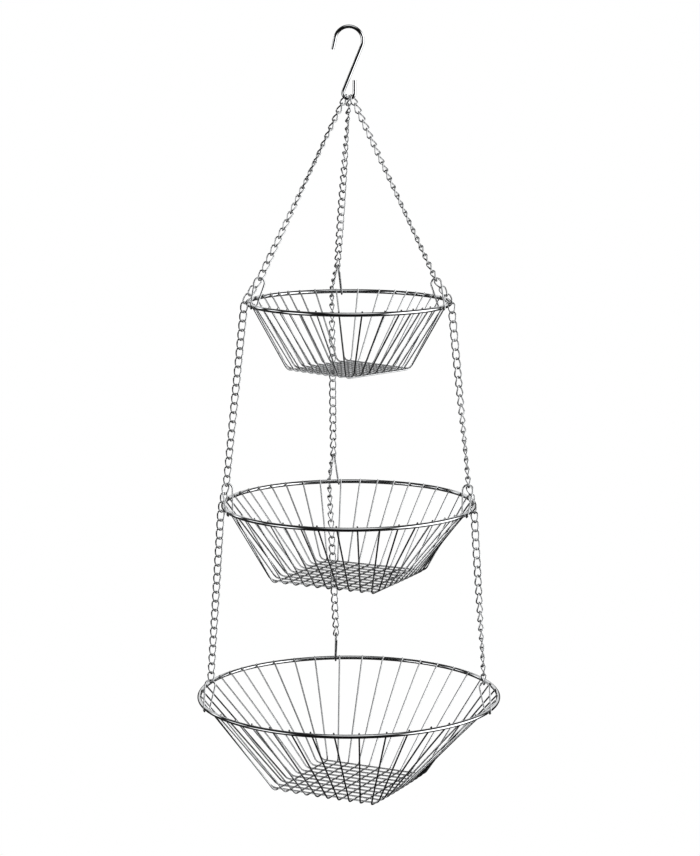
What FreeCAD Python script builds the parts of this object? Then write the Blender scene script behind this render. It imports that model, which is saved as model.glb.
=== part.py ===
import FreeCAD, Part
import math
import os

# Three-tier hanging wire basket. An S-hook carries three chains, and nine wire clips hang three round
# baskets of crossed wires on them, the smallest at the top.
# Millimetres, +Z up, +X to the right, +Y to the back. The origin is the seat of the S-hook: the inside
# top of its upper bow, where the ceiling hook bears.

V = FreeCAD.Vector

# S-hook
HOOK_WIRE = 3.5
UPPER_BOW_RADIUS = 13.5      # to the wire's centreline
LOWER_BOW_RADIUS = 5.6       # wide enough for three links side by side
BOW_SPACING = 50.2           # between the two bows' centres
UPPER_TIP_ANGLE = 168.0      # where the upper bow ends and its straight tip begins
UPPER_TIP_LENGTH = 11.7
LOWER_TIP_LENGTH = 12.0
LINK_SEAT_ANGLES = {"rear": 4.0, "left": -39.0, "right": 36.0}    # up the lower bow from its bottom
FIRST_LINK_ROLLS = {"rear": 12.0, "left": 6.0, "right": 5.0}      # clear of the link beside it
HOOK_CLEARANCE = 0.18        # between the lower bow and each chain's first link

# Chains
LINK_WIRE = 1.35
LINK_PITCH = 9.0             # contact to contact under load
LINK_SLACK = 0.2             # gap that keeps neighbouring links clear of each other
LINK_HALF_WIDTH = 3.4        # to the wire's centreline
LINK_END_RADIUS = 2.8
LINK_SIDE_RADIUS = 14.0      # the two long sides bulge a little
LINK_TWIST = 42.0            # each end is turned this much from the link's middle plane
CHAIN_AZIMUTHS = {"rear": 97.3, "left": 199.0, "right": 337.5}
HOOK_TO_CLIP_LINKS = 22
CLIP_TO_RIM_LINKS = 3
RIM_TO_MIDDLE_LINKS = 20
RIM_TO_BOTTOM_LINKS = 19
HALF_TURNS = {"rear": 1, "left": 0, "right": 1}         # that each free stretch makes on its way down
PASSING_ROLLS = {"rear": 22, "left": 0, "right": 22}    # the first link past a clip, clear of it

# Clips
CLIP_WIRE = 1.7
CLIP_REACH = 27.0            # rim centre to the bearing of the clip's bow on its link
CLIP_BOW_RADIUS = 5.3
CLIP_GRIP_GAP = 0.12         # between the rim and the legs
CLIP_GRIP_ANGLE = 62.0       # how far each leg curls under the rim
CLIP_FOOT_SHIFT = 5.0        # the foot stands this far along the rim from the chain
CLIP_CLEARANCE = 0.65        # between a clip's bow and the link that carries it
CLIP_BOW_SHIFT = 1.0         # side by side with the next link in the carrying link
LAST_CLIP_BOW_SHIFT = 0.2    # the chain ends at the bottom clip, so its bow hangs nearly central
LAST_CLIP_SHIFTS = {"rear": 5.0, "left": 0.0, "right": 0.0}    # of the chain's end towards the clip's foot
CLIP_LEANS = {"top": -8.0, "middle": 1.8, "bottom": -6.0}   # the bow stands this far outside the rim
NEXT_LINK_SHIFT = 1.0        # of the next link in the carrying link, away from the clip's bow
CHAIN_RIM_SHIFT = 4.0        # where the chain passes the rim, on the other side from the foot
CHAIN_RIM_CLEARANCE = 6.2    # from the rim's centreline out to the passing chain

# Baskets
RIM_WIRE = 4.0
MESH_WIRE = 1.5
WELD_DEPTH = 0.1             # crossed wires are resistance-welded, slightly sunk into each other
BEND_RADIUS = 8.0
FLOOR_OVERHANG = 5.0         # from the outermost crossing wire to the bend's corner
AIMING_PASSES = 4            # that settle where a side run touches the rim
WIRE_POKE = 1.3              # a wire's end stands past its weld on the rim
TIERS = {
    "top": {"rim": 203.2, "depth": 67.6, "floor": 80.0, "turn": 46.0,
            "floor_wires": 9, "cross_wires": 9, "spread": 38.5, "bunching": 0.27},
    "middle": {"rim": 254.0, "depth": 74.6, "floor": 108.0, "turn": 63.5,
               "floor_wires": 10, "cross_wires": 11, "spread": 40.6, "bunching": 0.1},
    "bottom": {"rim": 304.8, "depth": 92.0, "floor": 108.0, "turn": 63.5,
               "floor_wires": 10, "cross_wires": 11, "spread": 40.6, "bunching": 0.1},
}


def polar(radius, degrees, height=0.0):
    angle = math.radians(degrees)
    return V(radius * math.cos(angle), radius * math.sin(angle), height)


def unit(vector):
    return V(vector).normalize()


def corner_arc(before, corner, after, radius):
    """Start, middle and end of the arc that rounds a corner of a wire's path."""
    back = unit(before - corner)
    ahead = unit(after - corner)
    half_angle = back.getAngle(ahead) / 2
    cut = radius / math.tan(half_angle)
    bisector = unit(back + ahead)
    middle = corner + bisector * (radius / math.sin(half_angle) - radius)
    return corner + back * cut, middle, corner + ahead * cut


def rounded_edges(points, radii):
    """Straight runs joined by tangent arcs, one radius for each inner point."""
    edges = []
    run_start = points[0]
    for index, radius in enumerate(radii, start=1):
        start, middle, end = corner_arc(points[index - 1], points[index], points[index + 1], radius)
        edges.append(Part.makeLine(run_start, start))
        edges.append(Part.Arc(start, middle, end).toShape())
        run_start = end
    edges.append(Part.makeLine(run_start, points[-1]))
    return edges


def rod(edges, diameter):
    """One bent wire: a round section swept along joined edges."""
    first = edges[0]
    start = first.valueAt(first.FirstParameter)
    heading = first.tangentAt(first.FirstParameter)
    section = Part.Wire(Part.makeCircle(diameter / 2, start, heading))
    return Part.Wire(edges).makePipeShell([section], True, False)


def framed(shape, origin, x_axis, z_axis):
    """A copy of a shape with its own origin, X and Z laid on the given ones."""
    y_axis = z_axis.cross(x_axis)
    matrix = FreeCAD.Matrix(x_axis.x, y_axis.x, z_axis.x, origin.x,
                            x_axis.y, y_axis.y, z_axis.y, origin.y,
                            x_axis.z, y_axis.z, z_axis.z, origin.z)
    placed = shape.copy()
    placed.Placement = FreeCAD.Placement(matrix)
    return placed


# S-hook ---------------------------------------------------------------------------------------------

UPPER_BOW_CENTRE = V(0, 0, HOOK_WIRE / 2 - UPPER_BOW_RADIUS)
LOWER_BOW_CENTRE = UPPER_BOW_CENTRE - V(0, 0, BOW_SPACING)


def in_hook_plane(centre, radius, degrees):
    angle = math.radians(degrees)
    return centre + V(radius * math.cos(angle), 0, radius * math.sin(angle))


def s_hook():
    shank_lean = math.degrees(math.asin((UPPER_BOW_RADIUS + LOWER_BOW_RADIUS) / BOW_SPACING))
    middle_angle = (UPPER_TIP_ANGLE - shank_lean) / 2
    upper = [in_hook_plane(UPPER_BOW_CENTRE, UPPER_BOW_RADIUS, angle)
             for angle in (UPPER_TIP_ANGLE, middle_angle, -shank_lean)]
    tip_heading = in_hook_plane(V(), 1, UPPER_TIP_ANGLE + 90)
    lower = [in_hook_plane(LOWER_BOW_CENTRE, LOWER_BOW_RADIUS, angle)
             for angle in (180 - shank_lean, 270 - shank_lean / 2, 360)]
    edges = [
        Part.makeLine(upper[0] + tip_heading * UPPER_TIP_LENGTH, upper[0]),
        Part.Arc(*upper).toShape(),
        Part.makeLine(upper[2], lower[0]),
        Part.Arc(*lower).toShape(),
        Part.makeLine(lower[2], lower[2] + V(0, 0, LOWER_TIP_LENGTH)),
    ]
    return rod(edges, HOOK_WIRE)


# Chains ---------------------------------------------------------------------------------------------

def twisted_link():
    """One curb link about the origin: an oval with its long way along Z and its ends turned apart."""
    half_length = (LINK_PITCH + LINK_WIRE + LINK_SLACK) / 2
    corners = [
        V(0, 0, half_length),
        polar(LINK_HALF_WIDTH, LINK_TWIST, half_length),
        polar(LINK_HALF_WIDTH, 0),
        polar(LINK_HALF_WIDTH, -LINK_TWIST, -half_length),
        V(0, 0, -half_length),
    ]
    side = rod(rounded_edges(corners, [LINK_END_RADIUS, LINK_SIDE_RADIUS, LINK_END_RADIUS]), LINK_WIRE)
    other_side = side.copy()
    other_side.rotate(V(), V(0, 0, 1), 180)
    return side.fuse(other_side).removeSplitter().Solids[0]


LINK = twisted_link()


FREE_ROLL = 90 - 2 * LINK_TWIST    # from link to link, where each lies square to the next
CLIP_ROLL = LINK_TWIST             # lays the lower end of the link that carries a clip along the rim


def chain_run(start, end, count, tangent, first_roll, last_roll):
    """Links from one contact point to another, rolled evenly about the chain from first to last."""
    down = unit(end - start)
    step = (end - start) / count
    across = unit(tangent - down * tangent.dot(down))
    inward = across.cross(down)
    links = []
    for index in range(count):
        share = index / max(count - 1, 1)
        roll = math.radians(first_roll + (last_roll - first_roll) * share)
        link_x = across * math.cos(roll) + inward * math.sin(roll)
        links.append(framed(LINK, start + step * (index + 0.5), link_x, -down))
    return links


def lower_to_reach(start, target, length):
    """The point straight above or below target that a tight chain of this length reaches."""
    flat = math.hypot(target.x - start.x, target.y - start.y)
    return V(target.x, target.y, start.z - math.sqrt(length ** 2 - flat ** 2))


def link_roll(direction, start, end, tangent):
    """Roll, as chain_run counts it, that lays a link's width along a direction."""
    down = unit(end - start)
    across = unit(tangent - down * tangent.dot(down))
    inward = across.cross(down)
    return math.degrees(math.atan2(direction.dot(inward), direction.dot(across)))


def side_seat(wire, shift):
    """Height of a wire's centre over a link's inside end, when it lies beside the middle of that end."""
    inner_radius = LINK_END_RADIUS - LINK_WIRE / 2
    return inner_radius - math.sqrt((inner_radius - wire / 2) ** 2 - shift ** 2)


class ChainRoute:
    """The contact points of one chain, from the S-hook past two rims to the bottom clip."""

    def __init__(self, name):
        self.name = name
        self.azimuth = CHAIN_AZIMUTHS[name]
        self.turn = -1 if name == "left" else 1
        self.tangent = polar(self.turn, self.azimuth + 90)
        spread = LINK_SEAT_ANGLES[name]
        self.bow_point = in_hook_plane(LOWER_BOW_CENTRE, LOWER_BOW_RADIUS, 270 + spread)
        self.bow_tangent = in_hook_plane(V(), 1, spread)
        self.past_clip_roll = 90 - LINK_TWIST + PASSING_ROLLS[name]
        self.rim_roll = self.past_clip_roll + CLIP_TO_RIM_LINKS * FREE_ROLL
        self.clips = {}
        self.rims = {}

    def clip_xy(self, tier):
        shift = LAST_CLIP_SHIFTS[self.name] if tier == "bottom" else 0
        radius = TIERS[tier]["rim"] / 2 - RIM_WIRE / 2 + CLIP_LEANS[tier]
        return polar(radius, self.azimuth) - self.tangent * shift

    def rim_xy(self, tier):
        radius = TIERS[tier]["rim"] / 2 - RIM_WIRE / 2 + CHAIN_RIM_CLEARANCE
        return polar(radius, self.azimuth) + self.tangent * CHAIN_RIM_SHIFT

    def after_clip(self, tier):
        """Where the chain goes on from a clip, beside the clip's bow in the same link."""
        lift = side_seat(LINK_WIRE, NEXT_LINK_SHIFT) - LINK_WIRE / 2
        return self.clips[tier] + self.tangent * NEXT_LINK_SHIFT + V(0, 0, lift)


def chain_routes():
    """All three routes. The rear chain sets the heights, so the baskets hang level."""
    routes = {name: ChainRoute(name) for name in CHAIN_AZIMUTHS}
    rear = routes["rear"]
    seat = HOOK_WIRE / 2 + HOOK_CLEARANCE
    length = HOOK_TO_CLIP_LINKS * LINK_PITCH - seat
    heights = [lower_to_reach(rear.bow_point, rear.clip_xy("top"), length).z]
    for tier, links, next_tier in (("top", RIM_TO_MIDDLE_LINKS, "middle"),
                                   ("middle", RIM_TO_BOTTOM_LINKS, "bottom")):
        rear.clips[tier] = rear.clip_xy(tier) + V(0, 0, heights[-1])
        passing = lower_to_reach(rear.after_clip(tier), rear.rim_xy(tier), CLIP_TO_RIM_LINKS * LINK_PITCH)
        heights.append(passing.z)
        heights.append(lower_to_reach(passing, rear.clip_xy(next_tier), links * LINK_PITCH).z)
    for route in routes.values():
        for tier, height in zip(TIERS, heights[0::2]):
            route.clips[tier] = route.clip_xy(tier) + V(0, 0, height)
        for tier, height in zip(("top", "middle"), heights[1::2]):
            route.rims[tier] = route.rim_xy(tier) + V(0, 0, height)
        heading = unit(route.clips["top"] - route.bow_point)
        route.start = route.bow_point - heading * seat
    return routes


ROUTES = chain_routes()
RIM_HEIGHTS = {tier: ROUTES["rear"].clips[tier].z - math.sqrt(CLIP_REACH ** 2 - CLIP_LEANS[tier] ** 2)
               for tier in TIERS}


def past_rim_links(route, tier):
    """The links between a clip and the rim."""
    return chain_run(route.after_clip(tier), route.rims[tier], CLIP_TO_RIM_LINKS, route.tangent,
                     route.past_clip_roll, route.rim_roll - FREE_ROLL)


def upper_chain(route):
    """The stretch from the S-hook to the top clip, and on to where it passes the top rim."""
    start = route.start
    end = route.clips["top"]
    heading = unit(end - start)
    end_lies = unit(heading.cross(route.bow_tangent))
    first_roll = link_roll(end_lies, start, end, route.tangent) - LINK_TWIST
    first_roll += FIRST_LINK_ROLLS[route.name]
    free_last_roll = first_roll + FREE_ROLL * (HOOK_TO_CLIP_LINKS - 1)
    half_turns = round((free_last_roll - CLIP_ROLL) / 180)
    last_roll = CLIP_ROLL + 180 * half_turns
    links = chain_run(start, end, HOOK_TO_CLIP_LINKS, route.tangent, first_roll, last_roll)
    return Part.Compound(links + past_rim_links(route, "top"))


def lower_chain(route, tier, next_tier, count):
    """The free stretch from one rim to the next clip."""
    last_roll = CLIP_ROLL + 180 * HALF_TURNS[route.name]
    links = chain_run(route.rims[tier], route.clips[next_tier], count, route.tangent,
                      route.rim_roll, last_roll)
    return Part.Compound(links)


def rim_links_middle():
    links = [link for route in ROUTES.values() for link in past_rim_links(route, "middle")]
    return Part.Compound(links)


# Clips ----------------------------------------------------------------------------------------------

def clip_foot(route, tier):
    """Where a clip grips its rim: the rim's centreline point and its outward direction."""
    radius = TIERS[tier]["rim"] / 2 - RIM_WIRE / 2
    azimuth = route.azimuth - route.turn * math.degrees(CLIP_FOOT_SHIFT / radius)
    return polar(radius, azimuth, RIM_HEIGHTS[tier]), polar(1, azimuth)


def carrying_heading(route, tier):
    """The direction of the link that carries a tier's clip, downwards."""
    above = {"top": route.start, "middle": route.rims.get("top"), "bottom": route.rims.get("middle")}[tier]
    return unit(route.clips[tier] - above)


def clip(route, tier):
    """A hairpin over the rim: a round bow at the top and two legs that curl under the rim."""
    foot, outward = clip_foot(route, tier)
    shift = LAST_CLIP_BOW_SHIFT if tier == "bottom" else CLIP_BOW_SHIFT
    lift = side_seat(CLIP_WIRE, shift) + CLIP_CLEARANCE
    top = route.clips[tier] - carrying_heading(route, tier) * lift - route.tangent * shift
    height = (top - foot).Length
    grip_radius = (RIM_WIRE + CLIP_WIRE) / 2 + CLIP_GRIP_GAP
    bow_centre = height - CLIP_BOW_RADIUS
    lean = math.asin((CLIP_BOW_RADIUS - grip_radius) / bow_centre)

    def on_circle(radius, angle, centre=0.0, side=1):
        return V(side * radius * math.cos(angle), 0, centre + radius * math.sin(angle))

    edges = []
    curl = math.radians(CLIP_GRIP_ANGLE)
    grip = [on_circle(grip_radius, angle) for angle in (-curl, -(curl + lean) / 2, -lean)]
    bow = [on_circle(CLIP_BOW_RADIUS, -lean, bow_centre), V(0, 0, height),
           on_circle(CLIP_BOW_RADIUS, -lean, bow_centre, -1)]
    far_grip = [on_circle(grip_radius, angle, side=-1) for angle in (-lean, -(curl + lean) / 2, -curl)]
    edges.append(Part.Arc(*grip).toShape())
    edges.append(Part.makeLine(grip[2], bow[0]))
    edges.append(Part.Arc(*bow).toShape())
    edges.append(Part.makeLine(bow[2], far_grip[0]))
    edges.append(Part.Arc(*far_grip).toShape())
    up = unit(top - foot)
    outward = unit(outward - up * outward.dot(up))
    return framed(rod(edges, CLIP_WIRE), foot, outward, up)


# Baskets --------------------------------------------------------------------------------------------

def rim(tier):
    radius = TIERS[tier]["rim"] / 2 - RIM_WIRE / 2
    return Part.makeTorus(radius, RIM_WIRE / 2, V(0, 0, RIM_HEIGHTS[tier]))


def rim_weld(tier, corner, azimuth):
    """The end of a side run: laid on the rim's inner face, with its tip standing past the weld."""
    centre = polar(TIERS[tier]["rim"] / 2 - RIM_WIRE / 2, azimuth, RIM_HEIGHTS[tier])
    along_rim = polar(1, azimuth + 90)
    spacing = (RIM_WIRE + MESH_WIRE) / 2 - WELD_DEPTH
    contact = centre
    for _ in range(AIMING_PASSES):
        heading = unit(contact - corner)
        contact = centre + unit(heading.cross(along_rim)) * spacing
    return contact + heading * WIRE_POKE


def mesh_wire(tier, share, direction, height):
    """One wire: up from the rim, across the floor and up to the rim opposite."""
    sizes = TIERS[tier]
    offset = polar(share * sizes["floor"] / 2, direction + 90, height)
    reach = polar(sizes["floor"] / 2 + FLOOR_OVERHANG, direction)
    bunching = sizes["bunching"]
    swing = sizes["spread"] * ((1 - bunching) * share + bunching * share ** 3)
    far_corner = offset + reach
    near_corner = offset - reach
    far_end = rim_weld(tier, far_corner, direction + swing)
    near_end = rim_weld(tier, near_corner, direction + 180 - swing)
    edges = rounded_edges([near_end, near_corner, far_corner, far_end], [BEND_RADIUS] * 2)
    return rod(edges, MESH_WIRE)


def mesh_layer(tier, count, direction, height):
    shares = [2 * index / (count - 1) - 1 for index in range(count)]
    return Part.Compound([mesh_wire(tier, share, direction, height) for share in shares])


def floor_wires(tier):
    """The lower layer of the mesh."""
    sizes = TIERS[tier]
    height = RIM_HEIGHTS[tier] - sizes["depth"] + MESH_WIRE / 2
    return mesh_layer(tier, sizes["floor_wires"], sizes["turn"], height)


def cross_wires(tier):
    """The upper layer of the mesh, square to the lower one."""
    sizes = TIERS[tier]
    lower_layer = RIM_HEIGHTS[tier] - sizes["depth"] + MESH_WIRE / 2
    height = lower_layer + MESH_WIRE - WELD_DEPTH
    return mesh_layer(tier, sizes["cross_wires"], sizes["turn"] + 90, height)


# Hand-out -------------------------------------------------------------------------------------------

def all_nodes():
    nodes = {"s_hook": s_hook(), "rim_links_middle": rim_links_middle()}
    for name, route in ROUTES.items():
        nodes[f"chain_upper_{name}"] = upper_chain(route)
        nodes[f"chain_middle_{name}"] = lower_chain(route, "top", "middle", RIM_TO_MIDDLE_LINKS)
        nodes[f"chain_lower_{name}"] = lower_chain(route, "middle", "bottom", RIM_TO_BOTTOM_LINKS)
        for tier in TIERS:
            nodes[f"clip_{tier}_{name}"] = clip(route, tier)
    for tier in TIERS:
        nodes[f"rim_{tier}"] = rim(tier)
        nodes[f"floor_wires_{tier}"] = floor_wires(tier)
        nodes[f"cross_wires_{tier}"] = cross_wires(tier)
    return nodes


os.makedirs("parts", exist_ok=True)
for node_name, node_shape in all_nodes().items():
    node_shape.exportStep(f"parts/{node_name}.step")
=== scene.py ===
import math

import bpy
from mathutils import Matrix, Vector


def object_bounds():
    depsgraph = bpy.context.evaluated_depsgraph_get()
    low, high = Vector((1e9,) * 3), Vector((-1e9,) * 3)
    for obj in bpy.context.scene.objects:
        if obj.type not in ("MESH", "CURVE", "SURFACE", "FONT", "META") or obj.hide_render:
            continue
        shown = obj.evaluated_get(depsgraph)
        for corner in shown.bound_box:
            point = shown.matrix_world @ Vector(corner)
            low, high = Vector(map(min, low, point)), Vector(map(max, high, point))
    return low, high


# A three-tier hanging wire basket in bright chrome, hung in a white studio.
# Metres, +Z up, the camera on the -Y side. The origin is the seat of the S-hook.

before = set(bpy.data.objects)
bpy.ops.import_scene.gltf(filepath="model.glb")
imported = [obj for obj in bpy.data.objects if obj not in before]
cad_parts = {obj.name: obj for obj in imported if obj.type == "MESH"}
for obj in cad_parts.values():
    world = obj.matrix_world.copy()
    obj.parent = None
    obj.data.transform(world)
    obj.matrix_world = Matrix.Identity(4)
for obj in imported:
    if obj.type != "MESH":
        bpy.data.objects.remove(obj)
cad_low, cad_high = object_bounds()

# Camera
CAMERA_PLACE = Vector((0.0012, -2.555, 0.0339))
CAMERA_PITCH = 9.46          # degrees below the horizon
CAMERA_LENS = 109.9          # mm on a 36 mm sensor
CAMERA_NEAR = 0.05           # clipping distances
CAMERA_FAR = 50

# Backdrop
BACKDROP_RADIUS = 6.0
BACKDROP_CORNER = 2.5        # radius of the sweep from the floor to the wall
BACKDROP_POLE = 0.001        # radius of the pinholes left at the middle of the floor and of the dome
BACKDROP_STEPS = 12          # rings of faces in the sweep, and again in the dome
BACKDROP_SEGMENTS = 96       # faces round each ring
BACKDROP_RADIANCE = 1.0
FLOOR_DROP = 0.35            # from the lowest wire down to the floor

# Light, which reaches the basket from the world alone
CONTRAST_GAMMA = 0.8         # deepens the midtones and leaves white alone
ROOM_RADIANCE = 0.04
# soft round cards, each painted over the last: axis, inner and outer angle in degrees, radiance
CARDS = [
    ((0.1, -0.5, 0.85), 14, 30, 1.0),        # soft box over the camera
    ((1, -0.2, -0.05), 30, 45, 1.8),         # large card on the right
    ((-0.87, -0.5, -0.15), 12, 23, 1.8),     # small low card on the left
    ((-1, 0.05, 0.22), 6, 13, 1.6),          # and two behind it, which light the rims' left side
    ((-0.8, 0.6, 0.22), 8, 16, 1.6),
    ((0, 0, -1), 45, 70, 0.02),              # dark floor under the basket
    ((0, 1, -0.1), 50, 62, 0.03),            # dark flag behind, which edges the wires with a dark line
    ((0, 1, 0.36), 10, 17, 0.8),             # three cards over the flag, which show in the rims' ends
    ((0.55, 1, 0.42), 12, 20, 0.8),
    ((-0.55, 1, 0.42), 12, 20, 0.8),
    ((-0.1, -1, 0), 25, 40, 0.005),          # the dark camera side
]

# Chrome: how its CAD nodes' names start, its reflectance, its smoothest and roughest plating, and
# the scale of its ripple in waves per metre
FINISHES = {
    "hook_chrome": {
        "nodes": ["s_hook"],
        "tint": (0.88, 0.89, 0.90), "roughness": (0.02, 0.09), "grain": 500},
    "chain_chrome": {
        "nodes": ["chain_", "rim_links"],
        "tint": (0.84, 0.85, 0.86), "roughness": (0.05, 0.18), "grain": 1400},
    "clip_chrome": {
        "nodes": ["clip_"],
        "tint": (0.86, 0.87, 0.88), "roughness": (0.04, 0.14), "grain": 1100},
    "rim_chrome": {
        "nodes": ["rim_top", "rim_middle", "rim_bottom"],
        "tint": (0.88, 0.89, 0.90), "roughness": (0.02, 0.08), "grain": 400},
    "wire_chrome": {
        "nodes": ["floor_wires", "cross_wires"],
        "tint": (0.85, 0.86, 0.87), "roughness": (0.04, 0.14), "grain": 1000},
}
NOISE_MIDDLE = 0.5
NOISE_DETAIL = 3.0
RIPPLE_DEPTH = 0.00001       # metres, of the plating's waviness
HAZE_SIZE = 8                # a patch of haze against a wave of ripple
HAZE_EDGE = (0.4, 0.7)       # noise where the haze starts, and where it is full
HAZE_SHADE = 0.94            # share of the tint that is left in full haze
SCRATCH_DEPTH = 0.000002
SCRATCH_SIZE = 2             # the wander of a scratch against a wave of ripple
SCRATCH_DETAIL = 1.0
SCRATCH_WIDTH = 0.012        # as a share of the noise's range
SCRATCH_PATCH_SIZE = 3       # a scratched patch against the wander of its scratches
SCRATCH_PATCH_EDGE = (0.5, 0.62)
CREVICE_REACH = 0.0012       # metres round a weld or a link's bearing where the plating is painted darker, as painted shade, and made rougher
CREVICE_EDGE = (0.3, 0.8)    # open share of the surroundings, in a full crevice and in none
# painted shade: the colour that the plating is darkened towards in the crevices
CREVICE_PAINTED_SHADE = (0.42, 0.40, 0.37)
CREVICE_ROUGHNESS = 0.25     # added to the plating's own
OCCLUSION_SAMPLES = 4


# Camera and studio ------------------------------------------------------------------------------------

def make_camera():
    data = bpy.data.cameras.new("camera")
    data.lens = CAMERA_LENS
    data.clip_start = CAMERA_NEAR
    data.clip_end = CAMERA_FAR
    camera = bpy.data.objects.new("camera", data)
    camera.location = CAMERA_PLACE
    camera.rotation_euler = (math.radians(90 - CAMERA_PITCH), 0, 0)
    bpy.context.scene.collection.objects.link(camera)
    bpy.context.scene.camera = camera


class Tree:
    """Short calls for building a node tree."""

    def __init__(self, owner):
        owner.use_nodes = True
        self.nodes = owner.node_tree.nodes
        self.links = owner.node_tree.links
        self.nodes.clear()

    def add(self, kind, **settings):
        node = self.nodes.new(kind)
        for name, value in settings.items():
            setattr(node, name, value)
        return node

    def feed(self, value, socket):
        """Links an output to a socket, or writes a constant on it."""
        if isinstance(value, bpy.types.NodeSocket):
            self.links.new(value, socket)
        else:
            socket.default_value = value

    def calculate(self, operation, first, second=0.0):
        node = self.add("ShaderNodeMath", operation=operation)
        self.feed(first, node.inputs[0])
        self.feed(second, node.inputs[1])
        return node.outputs[0]

    def ramp(self, value, low, high, to_low=0.0, to_high=1.0):
        """A smooth step from to_low, at or under low, to to_high, at or over high."""
        node = self.add("ShaderNodeMapRange", interpolation_type="SMOOTHSTEP")
        self.feed(value, node.inputs["Value"])
        node.inputs["From Min"].default_value = low
        node.inputs["From Max"].default_value = high
        node.inputs["To Min"].default_value = to_low
        node.inputs["To Max"].default_value = to_high
        return node.outputs["Result"]

    def mix_colour(self, factor, first, second):
        node = self.add("ShaderNodeMix", data_type="RGBA")
        self.feed(factor, node.inputs[0])
        for name, colour in (("A_Color", first), ("B_Color", second)):
            socket = next(socket for socket in node.inputs if socket.identifier == name)
            self.feed(colour if isinstance(colour, bpy.types.NodeSocket) else (*colour, 1.0), socket)
        return next(socket for socket in node.outputs if socket.identifier == "Result_Color")

    def card(self, direction, behind, axis, inner, outer, radiance):
        """Paints a soft round card over what is behind it, from its axis out to an angle in degrees."""
        facing = self.add("ShaderNodeVectorMath", operation="DOT_PRODUCT")
        self.feed(direction, facing.inputs[0])
        self.feed(Vector(axis).normalized(), facing.inputs[1])
        low = math.cos(math.radians(outer))
        high = math.cos(math.radians(inner))
        edge = self.ramp(facing.outputs["Value"], low, high)
        mix = self.add("ShaderNodeMix")
        self.feed(edge, mix.inputs["Factor"])
        self.feed(behind, mix.inputs["A"])
        self.feed(radiance, mix.inputs["B"])
        return mix.outputs["Result"]


def make_world():
    """A dim room with bright and dark cards round the basket, which is all that the chrome shows."""
    world = bpy.data.worlds.new("studio")
    bpy.context.scene.world = world
    tree = Tree(world)
    direction = tree.add("ShaderNodeTexCoord").outputs["Generated"]
    radiance = ROOM_RADIANCE
    for card in CARDS:
        radiance = tree.card(direction, radiance, *card)
    background = tree.add("ShaderNodeBackground")
    background.inputs["Color"].default_value = (1.0, 1.0, 1.0, 1.0)
    tree.feed(radiance, background.inputs["Strength"])
    output = tree.add("ShaderNodeOutputWorld")
    tree.feed(background.outputs[0], output.inputs["Surface"])


def lathe(name, profile, segments):
    """A surface of revolution about Z from (radius, height) points."""
    vertices = []
    for radius, height in profile:
        for index in range(segments):
            angle = math.tau * index / segments
            vertices.append((radius * math.cos(angle), radius * math.sin(angle), height))
    faces = []
    for ring in range(len(profile) - 1):
        for index in range(segments):
            following = (index + 1) % segments
            low = ring * segments
            high = low + segments
            faces.append((low + index, low + following, high + following, high + index))
    mesh = bpy.data.meshes.new(name)
    mesh.from_pydata(vertices, [], faces)
    mesh.shade_smooth()
    obj = bpy.data.objects.new(name, mesh)
    bpy.context.scene.collection.objects.link(obj)
    return obj


def backdrop_profile():
    """From the middle of the flat floor, round the corner and up the dome to its pole."""
    floor = cad_low.z - FLOOR_DROP
    inner = BACKDROP_RADIUS - BACKDROP_CORNER
    angles = [math.pi / 2 * step / BACKDROP_STEPS for step in range(1, BACKDROP_STEPS + 1)]
    profile = [(BACKDROP_POLE, floor), (inner, floor)]
    for angle in angles:
        profile.append((inner + BACKDROP_CORNER * math.sin(angle),
                        floor + BACKDROP_CORNER * (1 - math.cos(angle))))
    for angle in angles:
        profile.append((max(BACKDROP_RADIUS * math.cos(angle), BACKDROP_POLE),
                        floor + BACKDROP_CORNER + BACKDROP_RADIUS * math.sin(angle)))
    return profile


def make_backdrop():
    """A glowing white room that only the camera sees, so it neither lights the chrome nor shows in it."""
    backdrop = lathe("backdrop", backdrop_profile(), BACKDROP_SEGMENTS)
    backdrop.visible_glossy = False
    backdrop.visible_diffuse = False
    backdrop.visible_shadow = False
    material = bpy.data.materials.new("backdrop_white")
    tree = Tree(material)
    emission = tree.add("ShaderNodeEmission")
    emission.inputs["Color"].default_value = (1.0, 1.0, 1.0, 1.0)
    emission.inputs["Strength"].default_value = BACKDROP_RADIANCE
    output = tree.add("ShaderNodeOutputMaterial")
    tree.feed(emission.outputs[0], output.inputs["Surface"])
    backdrop.data.materials.append(material)


# Materials --------------------------------------------------------------------------------------------

def noise(tree, place, scale, detail=NOISE_DETAIL):
    node = tree.add("ShaderNodeTexNoise")
    tree.feed(place, node.inputs["Vector"])
    node.inputs["Scale"].default_value = scale
    node.inputs["Detail"].default_value = detail
    return node.outputs[0]


def scratches(tree, place, scale):
    """Fine wandering hairlines, in patches: 1 in a scratch, 0 between them."""
    wander = noise(tree, place, scale, SCRATCH_DETAIL)
    away = tree.calculate("ABSOLUTE", tree.calculate("SUBTRACT", wander, NOISE_MIDDLE))
    lines = tree.ramp(away, 0.0, SCRATCH_WIDTH, 1.0, 0.0)
    patches = tree.ramp(noise(tree, place, scale / SCRATCH_PATCH_SIZE), *SCRATCH_PATCH_EDGE)
    return tree.calculate("MULTIPLY", lines, patches)


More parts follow.
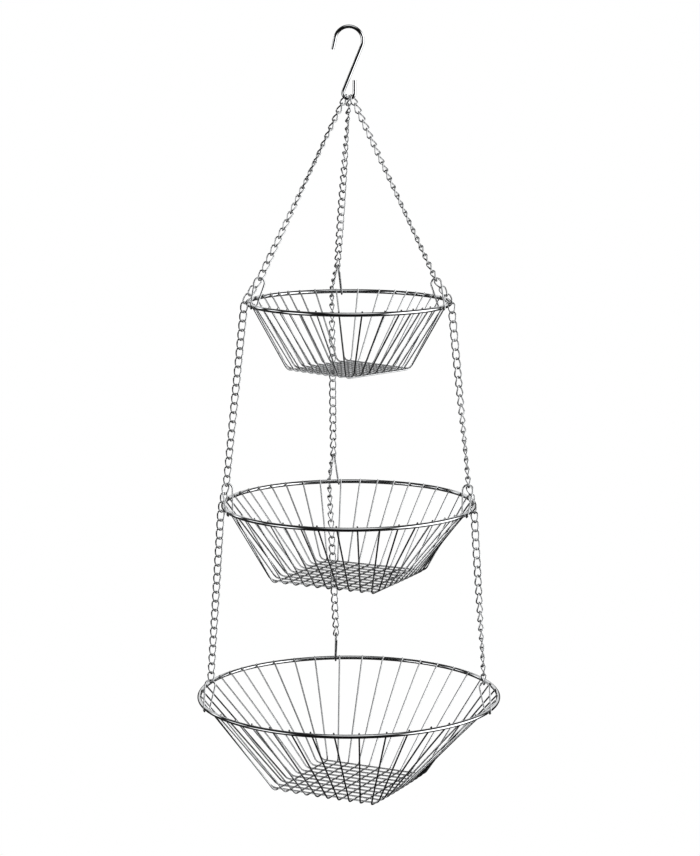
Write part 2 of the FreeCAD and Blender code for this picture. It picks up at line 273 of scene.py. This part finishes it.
def bump(tree, height, depth, normal=None):
    node = tree.add("ShaderNodeBump")
    node.inputs["Distance"].default_value = depth
    tree.feed(height, node.inputs["Height"])
    if normal:
        tree.feed(normal, node.inputs["Normal"])
    return node.outputs["Normal"]


def chrome(name, tint, roughness, grain):
    """Bright chrome plate: rippled, hazed in patches, hairline-scratched, with painted shade darkening
    the crevices, which are also made rougher.
    """
    material = bpy.data.materials.new(name)
    tree = Tree(material)
    place = tree.add("ShaderNodeTexCoord").outputs["Object"]
    ripple = noise(tree, place, grain)
    haze = tree.ramp(noise(tree, place, grain / HAZE_SIZE), *HAZE_EDGE)
    hairlines = scratches(tree, place, grain / SCRATCH_SIZE)
    # painted shade: ambient occlusion finds the crevices at the welds and between chain links, darkens
    # the colour there, and also adds roughness
    occlusion = tree.add("ShaderNodeAmbientOcclusion", samples=OCCLUSION_SAMPLES)
    occlusion.inputs["Distance"].default_value = CREVICE_REACH
    crevice_shade_and_dulling = tree.ramp(occlusion.outputs["AO"], *CREVICE_EDGE, 1.0, 0.0)

    plate = tree.mix_colour(haze, tint, [HAZE_SHADE * part for part in tint])
    # painted shade: the plate's colour is darkened in the crevices
    colour = tree.mix_colour(crevice_shade_and_dulling, plate, CREVICE_PAINTED_SHADE)
    smooth, rough = roughness
    finish = tree.ramp(tree.calculate("ADD", haze, hairlines), 0.0, 1.0, smooth, rough)
    finish = tree.calculate("ADD", finish, tree.calculate("MULTIPLY", crevice_shade_and_dulling, CREVICE_ROUGHNESS))

    shader = tree.add("ShaderNodeBsdfPrincipled")
    shader.inputs["Metallic"].default_value = 1.0
    tree.feed(colour, shader.inputs["Base Color"])
    tree.feed(finish, shader.inputs["Roughness"])
    waves = bump(tree, ripple, RIPPLE_DEPTH)
    tree.feed(bump(tree, hairlines, -SCRATCH_DEPTH, waves), shader.inputs["Normal"])
    output = tree.add("ShaderNodeOutputMaterial")
    tree.feed(shader.outputs[0], output.inputs["Surface"])
    return material


def dress(name, nodes, **finish):
    """Puts one chrome on every CAD node whose name starts with one of these."""
    material = chrome(name, **finish)
    for node_name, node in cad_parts.items():
        if node_name.startswith(tuple(nodes)):
            for slot in node.material_slots:
                slot.material = material


# whites stay white and the thin dark wires stay dark against them
bpy.context.scene.view_settings.view_transform = "Standard"
bpy.context.scene.view_settings.gamma = CONTRAST_GAMMA
make_camera()
make_world()
make_backdrop()
for finish_name, finish_settings in FINISHES.items():
    dress(finish_name, **finish_settings)
